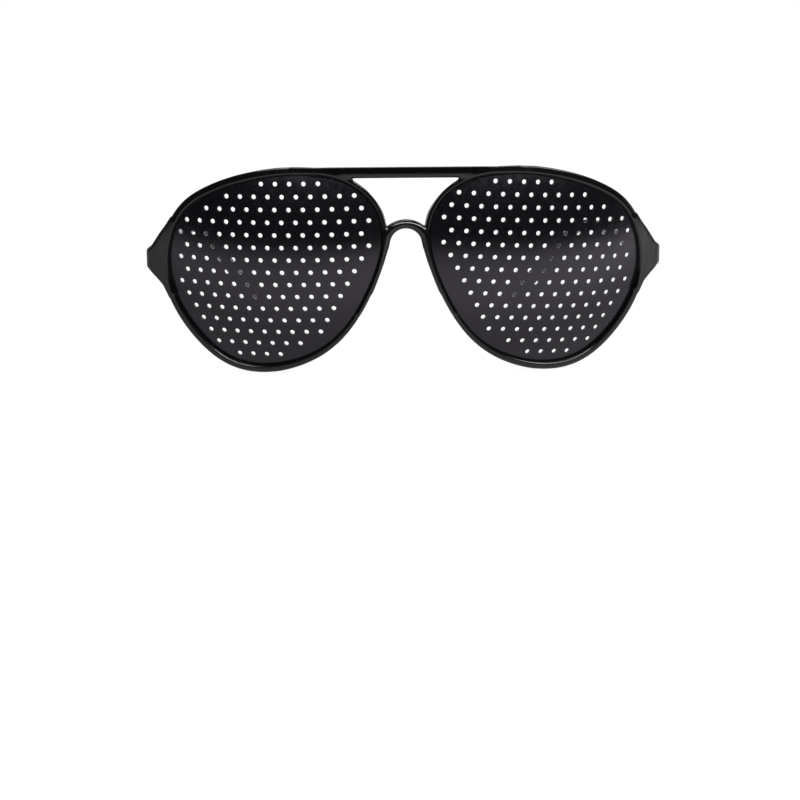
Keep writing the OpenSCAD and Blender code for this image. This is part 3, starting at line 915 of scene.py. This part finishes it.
@dataclass
class Temple:
    """One folding arm: a smooth tapered bar with an ear hook."""

    side: Side
    hinge: Points
    slope: float
    reach: float = 137.0
    thickness: float = 3.2
    height: float = 6.0
    mid_height: float = 3.4
    tip_height: float = 4.8
    tip_drop: float = 33.0
    bend: float = 33.0
    bend_radius: float = 37.0
    tip_in: float = 13.0
    lean_left: float = 6.0
    lean_right: float = 4.5
    turn_radius: float = 60.0
    axis_to_face: float = 1.0
    relief_radius: float = 1.35
    end_gap: float = 0.1
    step: float = 0.3

    def __post_init__(self) -> None:
        """Draws the side and plan lines; the arms lean in differently, as photographed."""
        self.lean = self.lean_left if self.side is Side.LEFT else self.lean_right
        self.tip = self.tip_height / 2
        self.side_line = BentLine((self.reach - self.tip, self.tip_drop), self.bend_radius, self.bend)
        length = self.reach * 1.05
        across = (length - self.side_line.start) * math.tan(math.radians(self.tip_in))
        self.plan_line = BentLine((length, across), self.turn_radius, self.tip_in)

    def shape(self, p: Points) -> Distances:
        """The arm's field, in the hinge's own axes: outward, back, up."""
        x, y, z = p.T
        path, off = self.side_line.measure(y, -z)
        end = self.side_line.length
        taper = smoothstep(0.0, self.side_line.start, path)
        half = self.height / 2 + (self.mid_height - self.height) / 2 * taper
        half = half + (self.tip_height - self.mid_height) / 2 * smoothstep(
            self.side_line.start, end, path
        )
        beyond = np.maximum(path - end, 0.0)
        tall = np.where(beyond > 0, np.hypot(off, beyond), np.abs(off)) - half
        c, s = math.cos(math.radians(self.lean)), math.sin(math.radians(self.lean))
        along = -x * s + y * c
        outward = x * c + y * s
        plan_path, plan_off = self.plan_line.measure(
            along, self.axis_to_face + self.thickness / 2 - outward
        )
        wide = np.abs(plan_off) - self.thickness / 2
        bar = soft_max(tall, wide, 1.9)
        bar = soft_max(bar, self.end_gap - y, 0.35)
        return soft_max(bar, self.relief_radius - np.hypot(x, y), 0.3)

    def build(self) -> bpy.types.Object:
        """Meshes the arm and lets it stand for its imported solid."""
        reach_in = self.reach * math.tan(math.radians(self.lean + self.tip_in))
        low = np.array([-reach_in, -1.0, -self.tip_drop - 9.0])
        high = np.array([self.axis_to_face + self.thickness + 2.0, self.reach + 3.0, 5.0])
        vertices, quads = Skin(self.shape, low, high, self.step).build()
        vertices = vertices @ rotation("X", -self.slope).T + self.hinge
        if self.side is Side.RIGHT:
            vertices = vertices * np.array([-1.0, 1.0, 1.0])
            quads = quads[:, ::-1]
        body = f"temple_{self.side.word}"
        piece = mesh_piece(f"arm_{self.side.word}", vertices * MM, quads)
        piece.data.materials.append(GLOSSY_BLACK.material())
        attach(piece, body)
        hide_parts(body)
        LOG.info("%s: %d quads", piece.name, len(quads))
        return piece


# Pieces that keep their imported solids


@dataclass
class LensSheets:
    """The two perforated sheets, shaded as true spheres."""

    seat: LensSeat

    def dress(self) -> None:
        """Gives both sheets their finish and their spheres' own normals."""
        for side in Side:
            node = frame["nodes"][f"lens_{side.word}"]
            self.shade(node.data, side)
            node.data.materials.clear()
            node.data.materials.append(BLACK_SHEET.material())
            LOG.info("%s: %d faces", node.name, len(node.data.polygons))

    def shade(self, mesh: bpy.types.Mesh, side: Side) -> None:
        """Sets each corner's normal: from the sphere on the faces, flat on the walls.

        Args:
            mesh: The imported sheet's mesh.
            side: Which lens it is.
        """
        centre = self.seat.to_row(np.array([[0.0, self.seat.sphere, 0.0]]))[0] * MM
        centre = centre * np.array([side.value, 1.0, 1.0])
        co = np.empty(len(mesh.vertices) * 3)
        mesh.vertices.foreach_get("co", co)
        co = co.reshape(-1, 3)
        loops = np.empty(len(mesh.loops), np.int64)
        mesh.loops.foreach_get("vertex_index", loops)
        flat = np.empty(len(mesh.polygons) * 3)
        mesh.polygons.foreach_get("normal", flat)
        flat = flat.reshape(-1, 3)
        counts = np.empty(len(mesh.polygons), np.int64)
        mesh.polygons.foreach_get("loop_total", counts)
        flat = np.repeat(flat, counts, axis=0)
        radial = co[loops] - centre
        radial /= np.linalg.norm(radial, axis=1)[:, None]
        facing = (radial * flat).sum(1)
        normals = np.where((facing > 0.8)[:, None], radial, flat)
        normals = np.where((facing < -0.8)[:, None], -radial, normals)
        mesh.polygons.foreach_set("use_smooth", np.ones(len(mesh.polygons), bool))
        mesh.normals_split_custom_set(normals.tolist())


@dataclass
class Hinges:
    """The metal leaves and screws at both end pieces."""

    def dress(self) -> None:
        """Gives the hinge parts their metal finishes."""
        for side in Side:
            parts = (
                (f"hinge_front_leaf_{side.word}", PLATED_STEEL, "hinge_metal"),
                (f"hinge_temple_leaf_{side.word}", PLATED_STEEL, "hinge_metal"),
                (f"hinge_screw_{side.word}", TURNED_STEEL, "screw_metal"),
            )
            for name, finish, slot in parts:
                node = frame["nodes"][name]
                node.data.materials.clear()
                node.data.materials.append(finish.material())
                LOG.info("%s: %d faces", name, len(node.data.polygons))


# Studio


@dataclass
class Studio:
    """A white table, soft light and the camera, none of it part of the object.

    Attributes:
        yaw: Camera's turn to the wearer's right, in degrees.
        elevation: Camera's height above level, in degrees.
        roll: Camera's roll, in degrees.
        distance: Distance from the camera to the point between the lenses, in metres.
        lens: Focal length on a 36 mm sensor.
        shift: The camera's shift across and up.
        lift: How far below the picture's centre line the lens axes are, in millimetres.
    """

    seat: LensSeat
    yaw: float = 2.132
    elevation: float = 6.988
    roll: float = -0.291
    distance: float = 0.6325
    lens: float = 96.609
    shift: tuple[float, float] = (-0.007875, -0.176925)
    lift: float = 0.31

    def camera(self) -> None:
        """Places the camera at the photograph's viewing angle."""
        turn = rotation("Y", self.roll) @ rotation("X", self.elevation) @ rotation("Z", self.yaw)
        across, ahead, up = turn
        target = np.array([0.0, self.seat.origin[1] * MM, (self.seat.origin[2] + self.lift) * MM])
        place = target - ahead * self.distance
        data = bpy.data.cameras.new("view_camera")
        data.sensor_width = 36.0
        data.lens = self.lens
        data.shift_x, data.shift_y = self.shift
        data.clip_start = 0.01
        camera = bpy.data.objects.new("view_camera", data)
        bpy.context.scene.collection.objects.link(camera)
        axes = Matrix([Vector(across), Vector(up), Vector(-ahead)]).transposed()
        camera.matrix_world = Matrix.Translation(Vector(place)) @ axes.to_4x4()
        bpy.context.scene.camera = camera

    def table(self) -> None:
        """Lays the white table that the glasses stand on."""
        size = 4.0
        mesh = bpy.data.meshes.new("table_top")
        corners = [(-size, -size, 0), (size, -size, 0), (size, size, 0), (-size, size, 0)]
        mesh.from_pydata(corners, [], [(0, 1, 2, 3)])
        table = bpy.data.objects.new("table_top", mesh)
        bpy.context.scene.collection.objects.link(table)
        mesh.materials.append(self._white())

    @staticmethod
    def _math(
        tree: bpy.types.NodeTree, operation: str, *values: bpy.types.NodeSocket | float
    ) -> bpy.types.NodeSocket:
        """Adds one arithmetic node.

        Args:
            tree: The tree to add it to.
            operation: The node's operation.
            values: Its inputs, as sockets or numbers.

        Returns:
            The node's output.
        """
        made = tree.nodes.new("ShaderNodeMath")
        made.operation = operation
        for place, value in enumerate(values):
            if isinstance(value, bpy.types.NodeSocket):
                tree.links.new(value, made.inputs[place])
            else:
                made.inputs[place].default_value = value
        return made.outputs[0]

    @staticmethod
    def _ramp(
        tree: bpy.types.NodeTree,
        value: bpy.types.NodeSocket,
        span: tuple[float, float],
        result: tuple[float, float],
    ) -> bpy.types.NodeSocket:
        """Turns a span of values smoothly into a span of results."""
        made = tree.nodes.new("ShaderNodeMapRange")
        made.interpolation_type = "SMOOTHSTEP"
        made.inputs["From Min"].default_value, made.inputs["From Max"].default_value = span
        made.inputs["To Min"].default_value, made.inputs["To Max"].default_value = result
        tree.links.new(value, made.inputs["Value"])
        return made.outputs["Result"]

    def _mirrored(self, tree: bpy.types.NodeTree) -> bpy.types.NodeSocket:
        """1 for rays that left a glossy or clear surface, 0 for the others."""
        path = tree.nodes.new("ShaderNodeLightPath")
        return self._math(
            tree, "MAXIMUM", path.outputs["Is Glossy Ray"], path.outputs["Is Transmission Ray"]
        )

    def _white(self) -> bpy.types.Material:
        """White paper: plain white to the camera but for a trace of shadow.

        In reflections it shows a painted pool of light: it glows brightest just in front of the
        glasses, with painted shade just under them, and falls off to the front, and a little to the
        wearer's right, as a table under one soft light does.
        """
        made = bpy.data.materials.new("white_table")
        made.use_nodes = True
        tree = made.node_tree
        shader = tree.nodes["Principled BSDF"]
        shader.inputs["Base Color"].default_value = (0.9, 0.9, 0.9, 1)
        shader.inputs["Roughness"].default_value = 0.9
        shader.inputs["Specular IOR Level"].default_value = 0.0
        place = tree.nodes.new("ShaderNodeSeparateXYZ")
        tree.links.new(tree.nodes.new("ShaderNodeTexCoord").outputs["Object"], place.inputs[0])
        # Painted pool of light: a glow that falls off to the front (reach), dims to 0.65 just under the
        # glasses as a painted shadow (foot) and grows towards +X (across)
        reach = self._ramp(tree, place.outputs["Y"], (-0.45, -0.13), (0.0, 0.85))
        foot = self._ramp(tree, place.outputs["Y"], (-0.12, -0.08), (1.0, 0.65))
        across = self._ramp(tree, place.outputs["X"], (-0.16, 0.3), (0.78, 1.6))
        painted_light_pool = self._math(tree, "MULTIPLY", self._math(tree, "MULTIPLY", reach, foot), across)
        path = tree.nodes.new("ShaderNodeLightPath")
        camera = path.outputs["Is Camera Ray"]
        mirrored = self._mirrored(tree)
        glow = tree.nodes.new("ShaderNodeEmission")
        # Reflected rays see the painted light pool as emission, not as lit paper
        strength = self._math(tree, "MAXIMUM", camera, self._math(tree, "MULTIPLY", painted_light_pool, mirrored))
        tree.links.new(strength, glow.inputs["Strength"])
        share = self._math(tree, "MAXIMUM", self._math(tree, "MULTIPLY", camera, 0.93), mirrored)
        mix = tree.nodes.new("ShaderNodeMixShader")
        tree.links.new(share, mix.inputs["Fac"])
        tree.links.new(shader.outputs[0], mix.inputs[1])
        tree.links.new(glow.outputs[0], mix.inputs[2])
        tree.links.new(mix.outputs[0], tree.nodes["Material Output"].inputs["Surface"])
        return made

    def _window(self, tree: bpy.types.NodeTree, way: bpy.types.Node) -> bpy.types.NodeSocket:
        """A bright panel high in front, which draws a thin line along turned edges."""
        low = self._ramp(tree, way.outputs["Z"], (0.58, 0.66), (0.0, 14.0))
        high = self._ramp(tree, way.outputs["Z"], (0.74, 0.82), (1.0, 0.0))
        right = self._ramp(tree, way.outputs["X"], (-0.5, -0.25), (0.0, 1.0))
        left = self._ramp(tree, way.outputs["X"], (0.55, 0.8), (1.0, 0.0))
        ahead = self._ramp(tree, way.outputs["Y"], (-0.25, -0.1), (1.0, 0.0))
        panel = low
        for part in (high, right, left, ahead):
            panel = self._math(tree, "MULTIPLY", panel, part)
        return panel

    def world(self) -> None:
        """Surrounds the table with plain white light.

        Reflections see a white backdrop behind the glasses, a dim room at the sides and a
        dark one in front, with a bright panel high up in it.
        """
        world = bpy.data.worlds.new("white_room")
        bpy.context.scene.world = world
        world.use_nodes = True
        tree = world.node_tree
        tree.nodes.clear()
        out = tree.nodes.new("ShaderNodeOutputWorld")
        way = tree.nodes.new("ShaderNodeSeparateXYZ")
        tree.links.new(tree.nodes.new("ShaderNodeTexCoord").outputs["Generated"], way.inputs[0])
        back = self._ramp(tree, way.outputs["Y"], (0.9, 0.985), (0.0, 1.0))
        front = self._ramp(tree, way.outputs["Y"], (-0.45, 0.1), (0.03, 0.32))
        sided = self._math(tree, "MULTIPLY_ADD", way.outputs["X"], 0.6, 1.0)
        room = self._math(tree, "MAXIMUM", back, self._math(tree, "MULTIPLY", front, sided))
        room = self._math(tree, "MAXIMUM", room, self._window(tree, way))
        plain = self._math(tree, "SUBTRACT", 1.0, self._mirrored(tree))
        strength = self._math(tree, "MAXIMUM", room, plain)
        white = tree.nodes.new("ShaderNodeBackground")
        white.inputs["Color"].default_value = (1, 1, 1, 1)
        tree.links.new(strength, white.inputs["Strength"])
        tree.links.new(white.outputs[0], out.inputs["Surface"])

    def lamps(self) -> None:
        """Hangs one soft panel above and slightly behind the glasses."""
        light = bpy.data.lights.new("overhead_panel", "AREA")
        light.shape = "RECTANGLE"
        light.size, light.size_y = 0.7, 0.3
        light.energy = 4.5
        lamp = bpy.data.objects.new("overhead_panel", light)
        bpy.context.scene.collection.objects.link(lamp)
        lamp.location = (-0.1, 0.15, 0.9)
        lamp.rotation_euler = (math.radians(-8), math.radians(-6), 0)

    def build(self) -> None:
        """Sets up the view settings, table, light and camera."""
        bpy.context.scene.view_settings.view_transform = "Standard"
        self.table()
        self.world()
        self.lamps()
        self.camera()
        LOG.info("studio: table, room, panel and camera")


def hinge_place() -> tuple[Points, float]:
    """Reads the left hinge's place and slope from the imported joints.

    Returns:
        A point on the axis in millimetres, and the axis's lean in degrees.
    """
    joint = next(j for j in frame["joints"] if j["name"] == "fold_left")
    axis = joint["axis"]
    return np.array(joint["pos_m"]) / MM, math.degrees(math.atan2(axis[1], axis[2]))


def main() -> None:
    """Builds every piece in order and reports each one."""
    logging.basicConfig(level=logging.INFO, format="%(name)s %(message)s")
    hinge, slope = hinge_place()
    seat = LensSeat()
    FrontMoulding(seat, hinge, slope).build()
    for side in Side:
        Temple(side, hinge, slope).build()
    LensSheets(seat).dress()
    Hinges().dress()
    Studio(seat).build()


if __name__ == "__main__":
    main()
